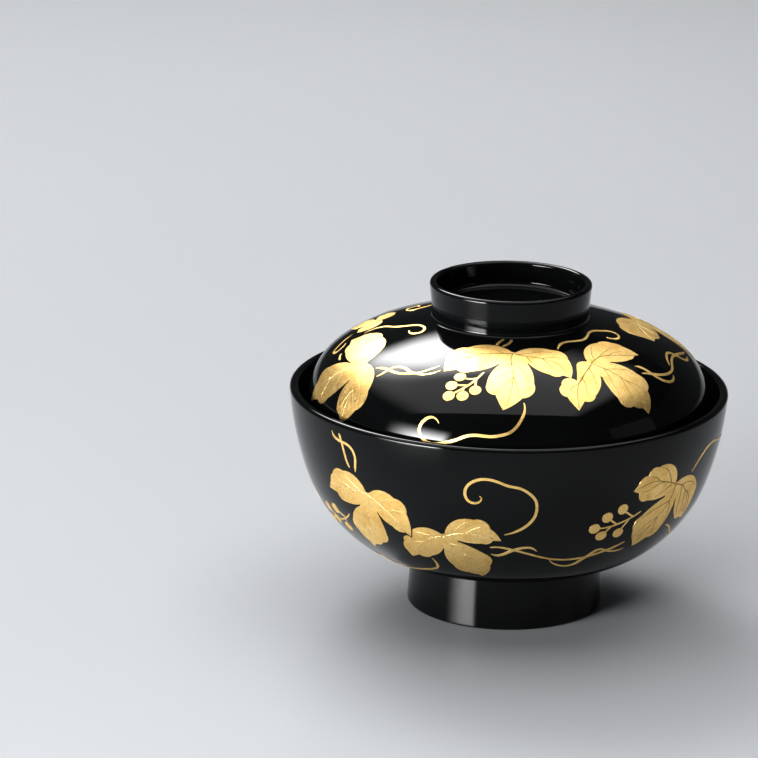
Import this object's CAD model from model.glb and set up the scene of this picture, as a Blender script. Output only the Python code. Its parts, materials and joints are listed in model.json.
import json
import math

import bmesh
import bpy
from mathutils import Matrix, Vector

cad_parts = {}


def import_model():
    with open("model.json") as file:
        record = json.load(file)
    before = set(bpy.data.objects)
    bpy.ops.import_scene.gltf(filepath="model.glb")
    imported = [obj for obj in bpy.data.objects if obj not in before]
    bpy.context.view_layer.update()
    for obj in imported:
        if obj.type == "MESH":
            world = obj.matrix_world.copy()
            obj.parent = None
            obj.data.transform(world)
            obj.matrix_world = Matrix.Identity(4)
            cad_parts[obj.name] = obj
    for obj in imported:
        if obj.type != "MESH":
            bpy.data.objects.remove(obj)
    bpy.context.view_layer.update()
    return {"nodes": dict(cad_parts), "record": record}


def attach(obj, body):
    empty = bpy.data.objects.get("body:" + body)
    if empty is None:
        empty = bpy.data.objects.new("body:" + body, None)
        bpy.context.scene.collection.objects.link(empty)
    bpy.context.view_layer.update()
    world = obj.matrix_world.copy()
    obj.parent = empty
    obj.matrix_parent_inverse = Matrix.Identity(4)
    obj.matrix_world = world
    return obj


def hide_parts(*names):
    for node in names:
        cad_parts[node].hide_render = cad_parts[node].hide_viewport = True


# The looks of the lidded rice bowl: turned black lacquer, and gold leaves, berries and
# tendrils laid on it.  The turned bodies are remade here as fine, smooth meshes; the gold
# keeps its CAD shape, and its leaves get fine veins.  Outlines and drawings are in
# millimetres, and outlines are (radius, height); MM brings them to the frame's metres.
# An azimuth of 0 is towards -Y, the camera's side, and it grows towards +X.

MM = 0.001

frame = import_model()

# ------------------------------------------------------------------ outlines

ARC_STEP = 0.9         # longest side of an outline's arcs
LINE_STEP = 1.2        # longest side of its straight runs
ROUNDING_STEPS = 10    # sides of a rounded edge
TURNS = 320            # sides round the turning axis
SAME_POINT = 1e-3      # points nearer than this are one
ON_THE_AXIS = 1e-6     # a radius in metres that counts as none


def left_of(heading):
    """The unit vector a quarter turn to the left of this heading."""
    return Vector((-math.sin(heading), math.cos(heading)))


def turned_by(vector, angle):
    """The plane vector turned counter-clockwise by this angle."""
    return Vector((vector.x * math.cos(angle) - vector.y * math.sin(angle),
                   vector.x * math.sin(angle) + vector.y * math.cos(angle)))


class Wall:
    """A chain of tangent arcs, level where it starts: (radius, degrees) each.

    turn is +1 where the arcs bend upwards and -1 where they bend down.
    """

    def __init__(self, start, arcs, turn):
        self.turn = turn
        self.arcs = []
        place = Vector(start)
        heading = 0.0
        for radius, degrees in arcs:
            angle = math.radians(degrees)
            centre = place + left_of(heading) * turn * radius
            self.arcs.append((centre, radius, heading, angle))
            heading += turn * angle
            place = centre - left_of(heading) * turn * radius

    def at(self, run):
        """The point at this distance along the wall, and the direction out of its bend."""
        for centre, radius, heading, angle in self.arcs:
            span = radius * angle
            if run <= span:
                break
            run -= span
        heading += self.turn * min(run, span) / radius
        away = -left_of(heading) * self.turn
        return centre + away * radius, away

    def length(self):
        return sum(radius * angle for _, radius, _, angle in self.arcs)

    def points(self):
        steps = math.ceil(self.length() / ARC_STEP)
        return [self.at(self.length() * step / steps)[0] for step in range(steps + 1)]


class Corner:
    """A corner of an outline that is to be rounded."""

    def __init__(self, points, place, radius):
        self.tip = points[place]
        self.radius = radius
        self.arriving = (self.tip - points[place - 1]).normalized()
        leaving = (points[place + 1] - self.tip).normalized()
        self.bend = self.arriving.angle_signed(leaving)
        self.reach = radius * math.tan(abs(self.bend) / 2)

    def takes_in(self, point):
        return (point - self.tip).length <= self.reach

    def arc(self):
        start = self.tip - self.arriving * self.reach
        side = 1 if self.bend > 0 else -1
        centre = start + Vector((self.arriving.y, -self.arriving.x)) * side * self.radius
        return [centre + turned_by(start - centre, -self.bend * step / ROUNDING_STEPS)
                for step in range(ROUNDING_STEPS + 1)]


def rounded(points, radii):
    """Rounds off corners of an outline; radii says how much, by place among the points."""
    corners = {place: Corner(points, place, radius) for place, radius in radii.items()}
    out = []
    for place, point in enumerate(points):
        if place in corners:
            out += corners[place].arc()
        elif not any(corner.takes_in(point) for corner in corners.values()):
            out.append(point)
    return out


def divided(points):
    """Splits the straight runs, so that shading stays even next to a rounded edge."""
    out = [points[0]]
    for first, last in zip(points, points[1:]):
        steps = max(1, math.ceil((last - first).length / LINE_STEP))
        out += [first.lerp(last, step / steps) for step in range(1, steps + 1)]
    return out


def outline(*runs):
    """Joins runs of points and rounded corners into one outline.

    A run is a list of points; a number after a run rounds the corner where it ends.
    """
    points = []
    radii = {}
    for run in runs:
        if isinstance(run, (int, float)):
            radii[len(points) - 1] = run
            continue
        for point in run:
            point = Vector(point)
            if not points or (point - points[-1]).length > SAME_POINT:
                points.append(point)
    return divided(rounded(points, radii))


# -------------------------------------------------------------------- meshes


def ring(mesh, radius, height, sides):
    """Points in a circle round the axis, or one point on it."""
    if radius < ON_THE_AXIS:
        return [mesh.verts.new((0, 0, height))]
    angles = [2 * math.pi * side / sides for side in range(sides)]
    return [mesh.verts.new((radius * math.cos(angle), radius * math.sin(angle), height))
            for angle in angles]


def join_rings(mesh, rings):
    """Faces from each closed ring to the next, triangles where a ring is one point."""
    for inner, outer in zip(rings, rings[1:]):
        sides = max(len(inner), len(outer))
        for side in range(sides):
            after = (side + 1) % sides
            if len(inner) == 1:
                mesh.faces.new((inner[0], outer[side], outer[after]))
            elif len(outer) == 1:
                mesh.faces.new((inner[side], outer[0], inner[after]))
            else:
                mesh.faces.new((inner[side], outer[side], outer[after], inner[after]))


def finished_object(name, mesh, material):
    """Turns the mesh into a smooth-shaded object of the scene."""
    for face in mesh.faces:
        face.smooth = True
    data = bpy.data.meshes.new(name)
    mesh.to_mesh(data)
    mesh.free()
    data.materials.append(material)
    piece = bpy.data.objects.new(name, data)
    bpy.context.scene.collection.objects.link(piece)
    return piece


def turned_body(name, points, node, body, material):
    """A body turned round the axis from an outline, which stands for a CAD node."""
    mesh = bmesh.new()
    join_rings(mesh, [ring(mesh, point.x * MM, point.y * MM, TURNS) for point in points])
    bmesh.ops.recalc_face_normals(mesh, faces=mesh.faces)
    piece = finished_object(name, mesh, material)
    piece.modifiers.new("even_shading", "WEIGHTED_NORMAL")
    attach(piece, body)
    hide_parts(node)


# ----------------------------------------------------------------- materials


class Nodes:
    """A material whose node tree is built up by short calls."""

    def __init__(self, name):
        self.material = bpy.data.materials.new(name)
        self.material.use_nodes = True
        self.tree = self.material.node_tree
        self.shader = self.tree.nodes["Principled BSDF"]
        self.place = self.add("ShaderNodeTexCoord").outputs["Object"]

    def add(self, kind, **settings):
        """A node; each setting is an input, linked or set, or else a property."""
        node = self.tree.nodes.new(kind)
        for name, value in settings.items():
            if isinstance(value, bpy.types.NodeSocket):
                self.tree.links.new(value, node.inputs[name])
            elif name in node.inputs:
                node.inputs[name].default_value = value
            else:
                setattr(node, name, value)
        return node

    def noise(self, scale, detail=3.0, roughness=0.55):
        return self.add("ShaderNodeTexNoise", Vector=self.place, Scale=scale, Detail=detail,
                        Roughness=roughness).outputs["Fac"]

    def cells(self, scale, output="Distance"):
        return self.add("ShaderNodeTexVoronoi", Vector=self.place, Scale=scale).outputs[output]

    def ramp(self, value, *stops):
        """Colours or greys at places along a value: (place, colour)."""
        node = self.add("ShaderNodeValToRGB", Fac=value)
        band = node.color_ramp
        while len(band.elements) < len(stops):
            band.elements.new(0.5)
        for element, (place, colour) in zip(band.elements, stops):
            element.position = place
            element.color = (*colour, 1) if isinstance(colour, tuple) else (colour,) * 3 + (1,)
        return node.outputs["Color"]

    def mix(self, share, first, second, blend="MIX"):
        node = self.add("ShaderNodeMix", data_type="RGBA", blend_type=blend)
        # the node has inputs of each data type: 0 is the share, 6 and 7 are the colours
        for place, value in ((0, share), (6, first), (7, second)):
            socket = node.inputs[place]
            if isinstance(value, bpy.types.NodeSocket):
                self.tree.links.new(value, socket)
            else:
                socket.default_value = (*value, 1) if isinstance(value, tuple) else value
        return node.outputs[2]

    def bump(self, height, depth, below=None):
        node = self.add("ShaderNodeBump", Height=height, Distance=depth)
        if below:
            self.tree.links.new(below, node.inputs["Normal"])
        return node.outputs["Normal"]

    def link(self, value, socket):
        self.tree.links.new(value, self.shader.inputs[socket])

    def set(self, **values):
        for name, value in values.items():
            self.shader.inputs[name].default_value = value


def lacquer_material():
    """Polished black lacquer: deep, very smooth, faintly wavy, with a few dust specks."""
    nodes = Nodes("polished_black_lacquer")
    cloud = nodes.noise(35, detail=4)
    deep = nodes.ramp(cloud, (0.3, (0.0022, 0.0024, 0.0026)), (0.75, (0.0042, 0.0046, 0.0048)))
    specks = nodes.ramp(nodes.cells(330), (0.0, 1.0), (0.028, 1.0), (0.045, 0.0))
    rare = nodes.ramp(nodes.noise(150, detail=1), (0.655, 0.0), (0.68, 1.0))
    dust = nodes.mix(1.0, specks, rare, "MULTIPLY")
    nodes.link(nodes.mix(dust, deep, (0.10, 0.105, 0.11)), "Base Color")
    rubbed = nodes.noise(420, detail=2)
    nodes.link(nodes.ramp(rubbed, (0.35, 0.035), (0.7, 0.075)), "Roughness")
    waves = nodes.bump(nodes.noise(28, detail=1), 0.000012)
    nodes.link(nodes.bump(rubbed, 0.0000005, waves), "Normal")
    nodes.set(IOR=1.34)
    return nodes.material


def gold_material(name, bright, deep, edge, rough):
    """Sprinkled gold powder: burnished patches, fine grains and a satin gloss."""
    nodes = Nodes(name)
    patches = nodes.noise(230, detail=5, roughness=0.62)
    body = nodes.ramp(patches, (0.30, deep), (0.52, bright), (0.72, bright))
    broad = nodes.ramp(nodes.noise(75, detail=2), (0.35, 0.0), (0.7, 1.0))
    body = nodes.mix(broad, body, nodes.mix(0.55, body, deep))
    grain = nodes.cells(5200, "Color")
    shade = nodes.ramp(grain, (0.05, edge), (0.28, (0.95, 0.93, 0.88)), (1.0, (1.0, 1.0, 1.0)))
    nodes.link(nodes.mix(0.75, body, shade, "MULTIPLY"), "Base Color")
    gloss = nodes.ramp(nodes.noise(1500, detail=3), (0.3, rough - 0.07), (0.75, rough + 0.12))
    nodes.link(gloss, "Roughness")
    relief = nodes.bump(patches, 0.00003)
    nodes.link(nodes.bump(nodes.cells(4200), 0.000022, relief), "Normal")
    nodes.set(Metallic=1.0)
    return nodes.material


def floor_material():
    """A pale, faintly glossy studio table top."""
    nodes = Nodes("pale_table")
    tone = nodes.ramp(nodes.noise(1.3, detail=2),
                      (0.3, (0.435, 0.445, 0.46)), (0.8, (0.46, 0.47, 0.485)))
    nodes.link(tone, "Base Color")
    nodes.link(nodes.ramp(nodes.noise(6, detail=3), (0.3, 0.17), (0.8, 0.21)), "Roughness")
    nodes.set(IOR=1.4)
    return nodes.material


LACQUER = lacquer_material()
GOLD = gold_material("sprinkled_gold", bright=(0.96, 0.73, 0.33), deep=(0.80, 0.53, 0.18),
                     edge=(0.58, 0.37, 0.13), rough=0.45)
VEIN_DARK = gold_material("engraved_vein", bright=(0.40, 0.28, 0.10),
                          deep=(0.24, 0.155, 0.055), edge=(0.45, 0.31, 0.13), rough=0.50)
VEIN_PALE = gold_material("raised_vein", bright=(1.0, 0.84, 0.48),
                          deep=(0.90, 0.68, 0.31), edge=(0.70, 0.48, 0.20), rough=0.44)

# -------------------------------------------------------------- turned bodies

FOOT_TOP = (26.0, 15.2)      # where the foot's outside meets the bowl
FOOT_RECESS = 11.5           # height of the recess under the bowl
BOWL_FLOOR = 17.2            # height of the inside at the middle
RIM_HEIGHT = 62.0
LIP_HEIGHT = 52.5            # the lid's lower edge, inside the bowl
LID_CROWN = 83.2             # where the lid's outside would meet the axis
LID_THICKNESS = 2.4
LID_ARCS = [(115.0, 19.40), (37.4, 17.35), (17.3, 53.25)]
KNOB_RADIUS = 21.2           # of the knob ring's outside, at its root
KNOB_TOP = 91.3
KNOB_FLOOR = 84.6            # the hollow inside the knob ring

BOWL_OUTSIDE = Wall(FOOT_TOP, [(28.0, 42.08), (38.5, 28.67), (88.8, 15.65)], 1)
BOWL_INSIDE = Wall((0.0, BOWL_FLOOR), [(120.0, 14.58), (30.0, 51.63), (120.0, 12.06)], 1)
LID_OUTSIDE = Wall((0.0, LID_CROWN), LID_ARCS, -1)
LID_INSIDE = Wall((0.0, LID_CROWN - LID_THICKNESS),
                  [(radius - LID_THICKNESS, degrees) for radius, degrees in LID_ARCS], -1)

BOWL_OUTLINE = outline(
    [(0, FOOT_RECESS), (23.2, FOOT_RECESS)], 3.0,
    [(24.4, 0)], 0.6,
    [(27.0, 0)], 0.6,
    [FOOT_TOP], 0.8,
    BOWL_OUTSIDE.points(), 1.0,
    [(57.8, RIM_HEIGHT)], 1.0,
    reversed(BOWL_INSIDE.points()))

LID_OUTLINE = outline(
    LID_INSIDE.points(),
    [(53.5, LIP_HEIGHT)], 0.7,
    [(55.4, LIP_HEIGHT)], 0.7,
    [point for point in reversed(LID_OUTSIDE.points()) if point.x > KNOB_RADIUS + 0.1],
    [(KNOB_RADIUS, 81.229)], 1.0,
    [(22.2, KNOB_TOP)], 0.85,
    [(20.2, KNOB_TOP)], 0.85,
    [(19.4, KNOB_FLOOR)], 1.5,
    [(0, KNOB_FLOOR)])

turned_body("turned_bowl", BOWL_OUTLINE, "bowl_body", "bowl", LACQUER)
turned_body("turned_lid", LID_OUTLINE, "lid_body", "lid", LACQUER)

# ----------------------------------------------------------------------- gold


def seen_directly_only(piece):
    """The gold shows in no reflection and throws no glow, as in the photograph."""
    piece.visible_diffuse = False
    piece.visible_glossy = False


for part in frame["record"]["subparts"]:
    if part["material_slot"] == "gold":
        piece = frame["nodes"][part["node"]]
        piece.data.materials.clear()
        piece.data.materials.append(GOLD)
        seen_directly_only(piece)

# ---------------------------------------------------------------- leaf veins

GOLD_LIFT = 0.12       # thickness of the gold
VEIN_WIDTH = 0.3       # of a long vein at its root
SIDE_VEIN = 0.75       # a side vein's width, as a share of a long one's
LONG_VEIN = 5          # fewest points of a long vein
VEIN_TAPER = 0.65      # share of its width that a vein loses towards its tip
VEIN_STEPS = 5         # sides of a vein between two of its points
VEIN_HEIGHT = 0.05     # how far a vein stands off the gold
# across a vein, in half widths and heights; its edges are just under the gold's face
VEIN_PROFILE = ((-1, -0.04), (-0.55, 0.8), (0, 1), (0.55, 0.8), (1, -0.04))
VEIN_KEEL = 0.6        # height of its underside, as a share of the gold's thickness

# Each leaf's veins, in millimetres from its stalk notch: the three long ones run to the
# tips of the lobes, the others branch off them.
VEINS = {
    "spread": [
        [(-0.3, -0.6), (-4.0, -0.4), (-8.0, -0.6), (-12.0, -1.4), (-16.0, -2.8)],
        [(-2.6, -0.5), (-5.5, 1.6), (-8.6, 3.2), (-11.0, 3.4)],
        [(-6.5, -0.5), (-9.5, 0.9), (-12.5, 1.2)],
        [(-4.5, -0.5), (-7.5, -2.2), (-10.0, -3.8)],
        [(-0.3, -0.6), (-0.4, -3.0), (-1.2, -6.0), (-2.6, -10.0), (-4.2, -14.5), (-5.7, -20.0)],
        [(-1.2, -6.0), (-3.9, -8.6), (-6.6, -11.5), (-8.0, -13.5)],
        [(-1.6, -7.2), (-0.4, -10.2), (1.2, -13.0)],
        [(-3.2, -11.6), (-5.0, -14.0), (-6.4, -16.6)],
        [(-3.4, -12.4), (-2.4, -15.0), (-1.4, -16.8)],
        [(-0.3, -0.6), (2.6, -2.2), (6.0, -4.8), (9.0, -8.0), (10.9, -11.0)],
        [(2.6, -2.2), (5.8, -0.8), (8.4, -0.4)],
        [(5.4, -4.3), (8.6, -3.6), (11.2, -3.6)],
        [(4.4, -3.4), (5.2, -5.8), (6.0, -8.4)],
        [(7.2, -6.0), (7.8, -8.0), (8.4, -9.6)]],
    "low": [
        [(-0.4, -0.6), (-4.0, -2.0), (-7.0, -4.4), (-9.4, -7.6), (-10.8, -10.8)],
        [(-2.6, -1.4), (-5.5, -0.6), (-8.2, -0.6)],
        [(-6.0, -3.6), (-9.0, -4.2), (-11.6, -5.6)],
        [(-4.0, -2.0), (-4.4, -4.8), (-5.2, -8.2)],
        [(-7.4, -4.9), (-7.6, -7.4), (-8.0, -9.2)],
        [(0.0, -0.6), (1.8, -3.0), (4.4, -6.4), (6.4, -10.6), (7.4, -17.0)],
        [(1.8, -3.0), (5.6, -3.6), (8.8, -5.6)],
        [(4.6, -6.8), (7.8, -8.8), (9.4, -12.0)],
        [(4.2, -6.2), (4.6, -10.0), (4.4, -14.0)],
        [(1.6, -2.8), (1.4, -7.0), (0.9, -10.8)],
        [(0.4, -0.4), (4.0, 0.9), (8.0, 1.2), (12.0, 0.6), (15.0, -0.4)],
        [(2.2, 0.3), (4.4, 3.2), (6.8, 5.2)],
        [(6.0, 1.1), (8.6, 3.0), (10.8, 4.0)],
        [(5.0, 1.0), (7.4, -0.1), (9.6, -0.8)]],
    "veined": [
        [(-0.2, -0.1), (-2.5, 0.8), (-5.0, 1.6), (-7.0, 2.3), (-10.0, 2.6), (-13.0, 2.0),
         (-15.2, 1.3)],
        [(-2.2, 0.7), (-3.1, 2.6), (-4.4, 4.6), (-6.2, 6.0), (-7.9, 6.5)],
        [(-7.0, 2.3), (-8.4, 3.5), (-9.8, 4.1), (-11.2, 4.4)],
        [(-5.2, 1.6), (-7.2, 1.6), (-9.2, 0.8), (-11.2, 0.2), (-13.0, 0.3)],
        [(-1.6, 0.2), (-3.6, -0.6), (-5.6, -1.6), (-7.6, -2.3)],
        [(-0.1, -0.2), (0.0, -2.5), (-0.9, -5.2), (-2.2, -7.6), (-4.0, -9.8), (-5.6, -12.2),
         (-7.0, -15.0), (-8.1, -18.0)],
        [(-0.9, -5.2), (-3.5, -5.8), (-6.0, -6.5), (-8.5, -7.4), (-10.2, -8.2)],
        [(-3.6, -9.4), (-6.0, -10.4), (-8.2, -11.8), (-9.6, -13.2)],
        [(-0.8, -5.0), (0.0, -7.5), (0.2, -10.0), (0.0, -12.4)],
        [(-3.8, -9.6), (-3.9, -12.0), (-3.6, -14.0), (-3.0, -15.4)],
        [(-5.4, -11.9), (-7.2, -13.4), (-8.6, -15.6)],
        [(0.1, -0.3), (2.2, -1.0), (4.2, -2.0), (6.0, -3.8), (8.0, -5.0), (9.6, -7.0),
         (10.6, -10.0), (11.0, -13.4)],
        [(3.3, -1.5), (5.2, -1.2), (7.5, -1.5), (10.0, -2.6), (11.6, -4.2)],
        [(3.2, -1.5), (3.9, -4.0), (4.2, -6.5), (4.9, -9.5), (5.5, -11.0)],
        [(6.0, -3.8), (6.5, -6.0), (7.0, -8.5), (7.4, -11.5)],
        [(7.6, -4.8), (8.6, -7.0), (9.2, -9.5), (9.4, -12.0)]],
    "tilted": [
        [(0.4, -0.4), (-4.0, 1.8), (-9.0, 3.2), (-14.0, 3.0), (-18.0, 1.9)],
        [(-2.2, 0.9), (-5.0, 4.6), (-8.6, 7.2), (-11.4, 7.9)],
        [(-7.0, 2.7), (-10.4, 4.8), (-13.6, 5.5)],
        [(-5.6, 2.3), (-8.6, 0.9), (-11.6, 0.2)],
        [(0.2, -0.6), (-3.0, -3.8), (-7.0, -8.0), (-11.0, -12.6), (-14.8, -17.2)],
        [(-4.0, -4.9), (-8.4, -6.0), (-12.0, -7.8)],
        [(-7.6, -8.7), (-11.0, -9.6), (-13.6, -11.2)],
        [(-3.4, -4.2), (-3.2, -8.0), (-2.8, -11.4)],
        [(-7.4, -8.5), (-7.2, -12.0), (-7.8, -14.8)],
        [(0.6, -0.4), (3.4, -3.4), (5.6, -7.6), (6.2, -12.0), (6.0, -17.0)],
        [(2.2, -2.0), (5.6, -2.6), (8.8, -5.2)],
        [(4.6, -5.5), (8.0, -7.4), (10.2, -10.6)],
        [(3.6, -3.8), (3.0, -7.6), (3.2, -11.6)],
        [(5.8, -8.4), (8.0, -11.0), (8.8, -13.4)],
        [(5.8, -8.6), (4.8, -11.6), (4.6, -14.4)]],
    "bright": [
        [(0.3, -1.4), (-4.0, -1.6), (-9.0, -3.0), (-13.6, -6.4), (-17.6, -11.4)],
        [(-1.8, -1.4), (-4.6, 0.2), (-8.2, 0.9), (-10.4, 0.2)],
        [(-7.0, -2.3), (-10.6, -2.2), (-14.6, -3.4)],
        [(-5.2, -1.9), (-7.2, -5.0), (-9.4, -8.8)],
        [(-11.0, -4.4), (-12.4, -7.4), (-13.6, -10.0)],
        [(0.5, -1.3), (0.0, -4.0), (0.2, -7.0), (0.6, -12.0), (0.2, -17.0), (-0.6, -21.0),
         (-1.8, -23.2)],
        [(0.2, -6.2), (-2.6, -8.6), (-4.8, -11.4), (-5.8, -14.4)],
        [(0.2, -6.0), (2.6, -8.8), (4.2, -12.0), (4.9, -15.6)],
        [(0.5, -12.0), (-1.4, -15.0), (-2.8, -18.6)],
        [(0.6, -12.2), (1.6, -16.0), (1.8, -19.4)],
        [(0.8, -1.5), (4.0, -2.8), (8.4, -4.2), (12.0, -6.6), (14.2, -9.6), (16.0, -13.2)],
        [(1.6, -1.9), (4.6, -1.4), (8.0, -0.9), (11.2, -1.6)],
        [(4.0, -2.8), (5.6, -6.0), (7.6, -8.4), (9.2, -9.8)],
        [(8.2, -4.1), (11.4, -4.0), (14.2, -5.4)],
        [(8.4, -4.2), (10.4, -7.4), (12.2, -11.0)]],
    "split": [
        [(-0.6, -0.6), (-4.0, -3.2), (-7.4, -6.0), (-10.0, -9.0), (-12.0, -12.8), (-12.9, -15.4)],
        [(-5.0, -4.0), (-8.0, -6.8), (-11.4, -8.6), (-13.0, -10.8)],
        [(-2.4, -2.0), (-3.0, -5.0), (-4.0, -8.4)],
        [(-6.6, -5.3), (-7.2, -8.2), (-8.6, -11.6)],
        [(-0.2, -0.4), (1.8, -3.2), (3.6, -6.0), (5.4, -9.4), (6.6, -12.6), (7.0, -16.0),
         (7.3, -19.4)],
        [(1.7, -3.1), (1.2, -6.5), (0.7, -9.5), (0.6, -13.0)],
        [(2.0, -3.6), (5.0, -4.4), (8.0, -5.6), (9.6, -7.8)],
        [(4.4, -7.5), (4.2, -11.0), (4.2, -14.0), (4.6, -16.6)],
        [(5.2, -9.0), (7.4, -11.0), (8.6, -13.0), (9.2, -14.6)],
        [(-0.4, -0.1), (1.8, 1.0), (4.0, 1.8), (7.0, 1.4), (10.5, 0.2), (13.5, -1.2),
         (17.0, -2.4)],
        [(1.6, 0.9), (2.4, 3.2), (3.6, 5.2), (5.2, 6.8)],
        [(3.4, 1.6), (5.8, 2.8), (8.2, 3.4), (10.6, 4.0)],
        [(7.0, 1.4), (9.6, 1.8), (12.6, 1.2)]],
    "upright": [
        [(0.2, 0.4), (4.0, 0.9), (8.0, 1.8), (11.0, 3.8), (13.8, 6.3)],
        [(3.6, 0.9), (7.4, -0.8), (10.6, -0.9)],
        [(7.0, 1.5), (10.4, 1.4), (13.2, 2.2)],
        [(5.4, 1.1), (7.0, 3.2), (8.0, 5.4)],
        [(0.1, 0.4), (0.2, 4.0), (0.3, 8.0), (-0.2, 13.0), (-1.1, 18.6)],
        [(0.2, 4.2), (2.8, 7.0), (4.4, 10.8)],
        [(0.2, 4.4), (-2.4, 7.4), (-4.6, 10.4)],
        [(0.3, 8.6), (1.6, 11.6), (1.8, 14.6)],
        [(0.1, 9.4), (-1.8, 12.0), (-2.8, 14.4)],
        [(-0.1, 0.4), (-4.0, 1.0), (-8.0, 2.0), (-11.6, 3.8), (-14.6, 5.8)],
        [(-3.6, 0.9), (-7.4, -0.8), (-10.6, -1.0)],
        [(-6.4, 1.6), (-9.6, 0.8), (-12.6, 1.2)],
        [(-5.0, 1.2), (-7.0, 3.4), (-9.0, 5.6)]],
}


class Ground:
    """A wall that leaves lie on: first is the run where drawings count from.

    out is +1 where the gold lies outside the wall's bend; up and east are +1 where a
    drawing's up and right go along the run and the azimuth.
    """

    def __init__(self, wall, body, first, out, up, east):
        self.wall = wall
        self.body = body
        self.first = first
        self.out = out
        self.up = up
        self.east = east


class Leaf:
    """A leaf of the CAD: its node, and the ground, azimuth and run of its stalk notch."""

    def __init__(self, node, shape, ground, azimuth, run, mirrored=False, turned=0, scale=1):
        self.node = node
        self.shape = shape
        self.ground = ground
        self.azimuth = math.radians(azimuth)
        self.run = run
        self.hand = -1 if mirrored else 1
        self.turned = math.radians(turned)
        self.scale = scale

    def point(self, place, lift):
        """Where a place in the leaf's drawing is, this far off the ground, in metres."""
        drawn = Vector((place.x * self.scale * self.hand, place.y * self.scale))
        drawn = turned_by(drawn, self.turned)
        ground = self.ground
        spot, away = ground.wall.at(ground.first + self.run + ground.up * drawn.y)
        angle = self.azimuth + ground.east * drawn.x / spot.x
        spot = spot + away * ground.out * lift
        return Vector((spot.x * math.sin(angle), -spot.x * math.cos(angle), spot.y)) * MM


KNOB_RUN = LID_ARCS[0][0] * math.asin(KNOB_RADIUS / LID_ARCS[0][0])

ON_BOWL = Ground(BOWL_OUTSIDE, "bowl", first=0, out=1, up=1, east=1)
ON_LID = Ground(LID_OUTSIDE, "lid", first=KNOB_RUN, out=1, up=-1, east=1)
IN_LID = Ground(LID_INSIDE, "lid", first=0, out=-1, up=-1, east=-1)

LEAVES = [
    Leaf("lid_leaf_left", "tilted", ON_LID, -60.2, 24.9),
    Leaf("lid_leaf_middle", "bright", ON_LID, 0.8, 7.5),
    Leaf("lid_leaf_right", "split", ON_LID, 36.5, 16.2),
    Leaf("lid_leaf_right_back", "tilted", ON_LID, 110.5, 16.3, turned=14),
    Leaf("lid_leaf_left_back", "veined", ON_LID, -101.0, 15.4, turned=10, scale=0.5),
    Leaf("lid_leaf_back", "bright", ON_LID, 168.0, 7.5, mirrored=True),
    Leaf("lid_inside_leaf", "upright", IN_LID, 43.1, 49.8),
]
for side, turn, hand in (("front", 0, 1), ("back", 180, -1)):
    for shape, azimuth, run in (("spread", -39.8, 46.0), ("low", -17.5, 37.0),
                                ("veined", 51.2, 48.3)):
        LEAVES.append(Leaf(f"bowl_{side}_leaf_{shape}", shape, ON_BOWL, turn + hand * azimuth,
                           run, mirrored=hand < 0))


def smooth_line(points):
    """A Catmull-Rom curve through the points."""
    ends = [Vector(point) for point in points]
    ends = [ends[0] * 2 - ends[1]] + ends + [ends[-1] * 2 - ends[-2]]
    line = []
    for before, first, last, after in zip(ends, ends[1:], ends[2:], ends[3:]):
        for step in range(VEIN_STEPS):
            t = step / VEIN_STEPS
            line.append((first * 2 + (last - before) * t
                         + (before * 2 - first * 5 + last * 4 - after) * t ** 2
                         + (first * 3 - before - last * 3 + after) * t ** 3) / 2)
    return line + [ends[-2]]


def vein(mesh, leaf, points, width):
    """A thin raised line, widest at its root, that sinks into the gold at both sides."""
    line = smooth_line(points)
    rings = []
    for place, centre in enumerate(line):
        along = line[min(place + 1, len(line) - 1)] - line[max(place - 1, 0)]
        across = Vector((-along.y, along.x)).normalized()
        half = width * (1 - VEIN_TAPER * place / (len(line) - 1)) / 2
        spots = [leaf.point(centre + across * half * side, GOLD_LIFT + VEIN_HEIGHT * height)
                 for side, height in VEIN_PROFILE]
        spots.append(leaf.point(centre, GOLD_LIFT * VEIN_KEEL))
        rings.append([mesh.verts.new(spot) for spot in spots])
    join_rings(mesh, rings)
    mesh.faces.new(rings[0])
    mesh.faces.new(rings[-1])


def leaf_veins(leaf):
    """All veins of a leaf, as one piece."""
    mesh = bmesh.new()
    for points in VEINS[leaf.shape]:
        share = 1 if len(points) >= LONG_VEIN else SIDE_VEIN
        vein(mesh, leaf, points, VEIN_WIDTH * math.sqrt(leaf.scale) * share)
    bmesh.ops.recalc_face_normals(mesh, faces=mesh.faces)
    material = VEIN_DARK if leaf.shape in DARK_VEINED else VEIN_PALE
    piece = finished_object(f"{leaf.node}_veins", mesh, material)
    seen_directly_only(piece)
    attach(piece, leaf.ground.body)


DARK_VEINED = ("veined", "split", "bright", "upright")
for leaf in LEAVES:
    leaf_veins(leaf)

# ---------------------------------------------------------------- the studio

FLOOR_SIDES = 96
# radius and height of the floor's rings, which curve up far away
FLOOR_RINGS = ((0, 0), (0.5, 0), (2.0, 0), (3.2, 0), (3.8, 0.12), (4.2, 0.5), (4.4, 1.2),
               (4.5, 2.4))
AIM = Vector((0, 0, 0.05))       # where the lights point


def floor():
    """A wide table top that curves up far away, so that every view ends in the same tone."""
    mesh = bmesh.new()
    join_rings(mesh, [ring(mesh, radius, height, FLOOR_SIDES)
                      for radius, height in FLOOR_RINGS])
    finished_object("studio_floor", mesh, floor_material())


def panel(name, azimuth, elevation, distance, width, height, brightness, fade=None):
    """A soft light that faces the bowl, seen from it at this azimuth and elevation."""
    angle = math.radians(azimuth)
    rise = math.radians(elevation)
    away = Vector((math.sin(angle) * math.cos(rise), -math.cos(angle) * math.cos(rise),
                   math.sin(rise)))
    lamp(name, AIM + away * distance, away, width, height, brightness, fade)


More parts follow.
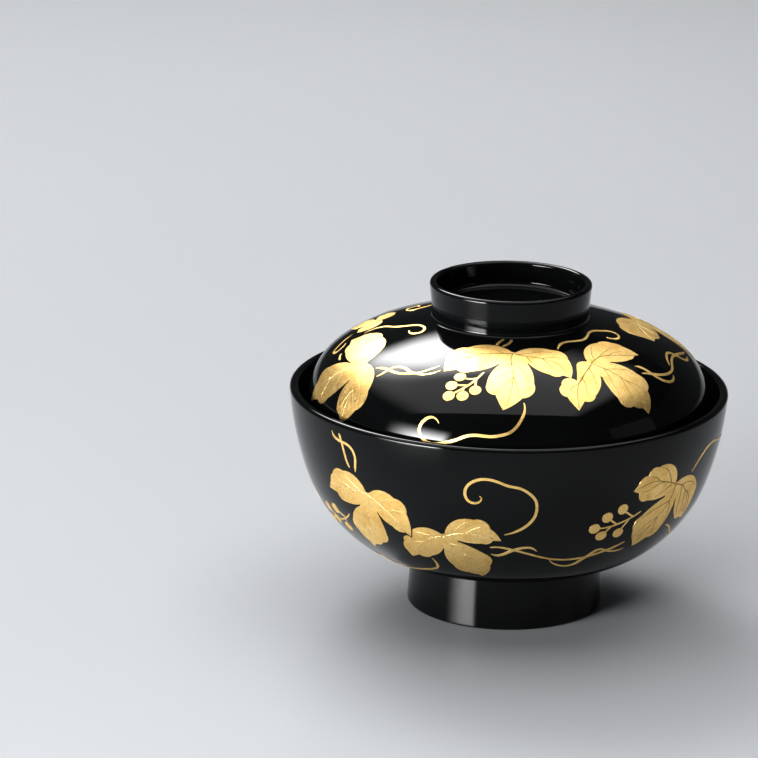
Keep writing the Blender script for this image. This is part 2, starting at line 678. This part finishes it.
def lamp(name, place, back, width, height, brightness, fade=None):
    """A rectangular light whose back is towards the vector back; sizes are in metres.

    fade is how far it dims in from its left, right, low and high edges, as shares of its
    size.
    """
    light = bpy.data.lights.new(name, "AREA")
    light.shape = "RECTANGLE"
    light.size = width
    light.size_y = height
    light.energy = brightness * width * height * math.pi
    if fade:
        soften(light, fade)
    holder = bpy.data.objects.new(name, light)
    bpy.context.scene.collection.objects.link(holder)
    holder.location = place
    holder.rotation_euler = back.to_track_quat("Z", "Y").to_euler()


def soften(light, fade):
    """Dims a light towards its edges, as a lamp does behind a diffusing sheet."""
    light.use_nodes = True
    tree = light.node_tree
    place = tree.nodes.new("ShaderNodeNewGeometry")
    split = tree.nodes.new("ShaderNodeSeparateXYZ")
    tree.links.new(place.outputs["Parametric"], split.inputs[0])
    left, right, low, high = fade
    total = None
    for axis, edge, share in (("X", 0, left), ("X", 1, right), ("Y", 0, low), ("Y", 1, high)):
        if not share:
            continue
        ramp = edge_ramp(tree, split.outputs[axis], edge, share)
        total = ramp if total is None else product(tree, total, ramp)
    tree.links.new(total, tree.nodes["Emission"].inputs["Strength"])


def edge_ramp(tree, position, edge, share):
    """Grows smoothly from 0 at an edge, 0 or 1, to 1 at this share of the size inwards."""
    ramp = tree.nodes.new("ShaderNodeMapRange")
    ramp.interpolation_type = "SMOOTHSTEP"
    tree.links.new(position, ramp.inputs["Value"])
    ramp.inputs["From Min"].default_value = edge
    ramp.inputs["From Max"].default_value = abs(edge - share)
    return ramp.outputs["Result"]


def product(tree, first, second):
    node = tree.nodes.new("ShaderNodeMath")
    node.operation = "MULTIPLY"
    tree.links.new(first, node.inputs[0])
    tree.links.new(second, node.inputs[1])
    return node.outputs[0]


LENS = 180.71                          # millimetres, on a sensor 36 mm wide
CAMERA_PLACE = Vector((0, -1.0, 0.36103))
PITCH = math.radians(16.6102)          # downwards
YAW = math.radians(-2.0381)            # from +Y towards +X
ROLL = math.radians(0.7328)


def camera():
    """A long lens a little above the rim, with the bowl low and right of the middle."""
    data = bpy.data.cameras.new("camera")
    data.sensor_width = 36.0
    data.lens = LENS
    data.clip_end = 30
    view = bpy.data.objects.new("camera", data)
    bpy.context.scene.collection.objects.link(view)
    forward = Vector((math.sin(YAW) * math.cos(PITCH), math.cos(YAW) * math.cos(PITCH),
                      -math.sin(PITCH)))
    level = Vector((math.cos(YAW), -math.sin(YAW), 0))
    upright = level.cross(forward)
    right = level * math.cos(ROLL) + upright * math.sin(ROLL)
    up = upright * math.cos(ROLL) - level * math.sin(ROLL)
    matrix = Matrix((right, up, -forward)).transposed().to_4x4()
    matrix.translation = CAMERA_PLACE
    view.matrix_world = matrix
    bpy.context.scene.camera = view


def world():
    """The dark room round the lights."""
    surroundings = bpy.data.worlds.new("studio")
    surroundings.use_nodes = True
    background = surroundings.node_tree.nodes["Background"]
    background.inputs["Color"].default_value = (0.9, 0.95, 1.0, 1)
    background.inputs["Strength"].default_value = 0.03
    bpy.context.scene.world = surroundings


floor()
# a wide sheet overhead, its bright part behind the bowl, a low lamp at the front left and
# a faint card on the right
lamp("overhead_sheet", Vector((-0.36, 0.45, 1.25)), Vector((0, 0, 1)), width=2.5, height=2.1,
     brightness=2.45, fade=(0.10, 0.35, 0.35, 0))
panel("back_softbox", azimuth=-158, elevation=46, distance=1.5, width=1.20, height=0.95,
      brightness=17.0, fade=(0.45, 0.50, 0.30, 0.60))
panel("side_lamp", azimuth=-52, elevation=14, distance=1.3, width=0.95, height=0.62,
      brightness=64.0, fade=(0.66, 0.15, 0, 0.95))
panel("right_card", azimuth=75, elevation=11, distance=1.3, width=0.68, height=0.5,
      brightness=0.3)
camera()
world()
bpy.context.scene.view_settings.view_transform = "Standard"
bpy.context.scene.view_settings.gamma = 0.82
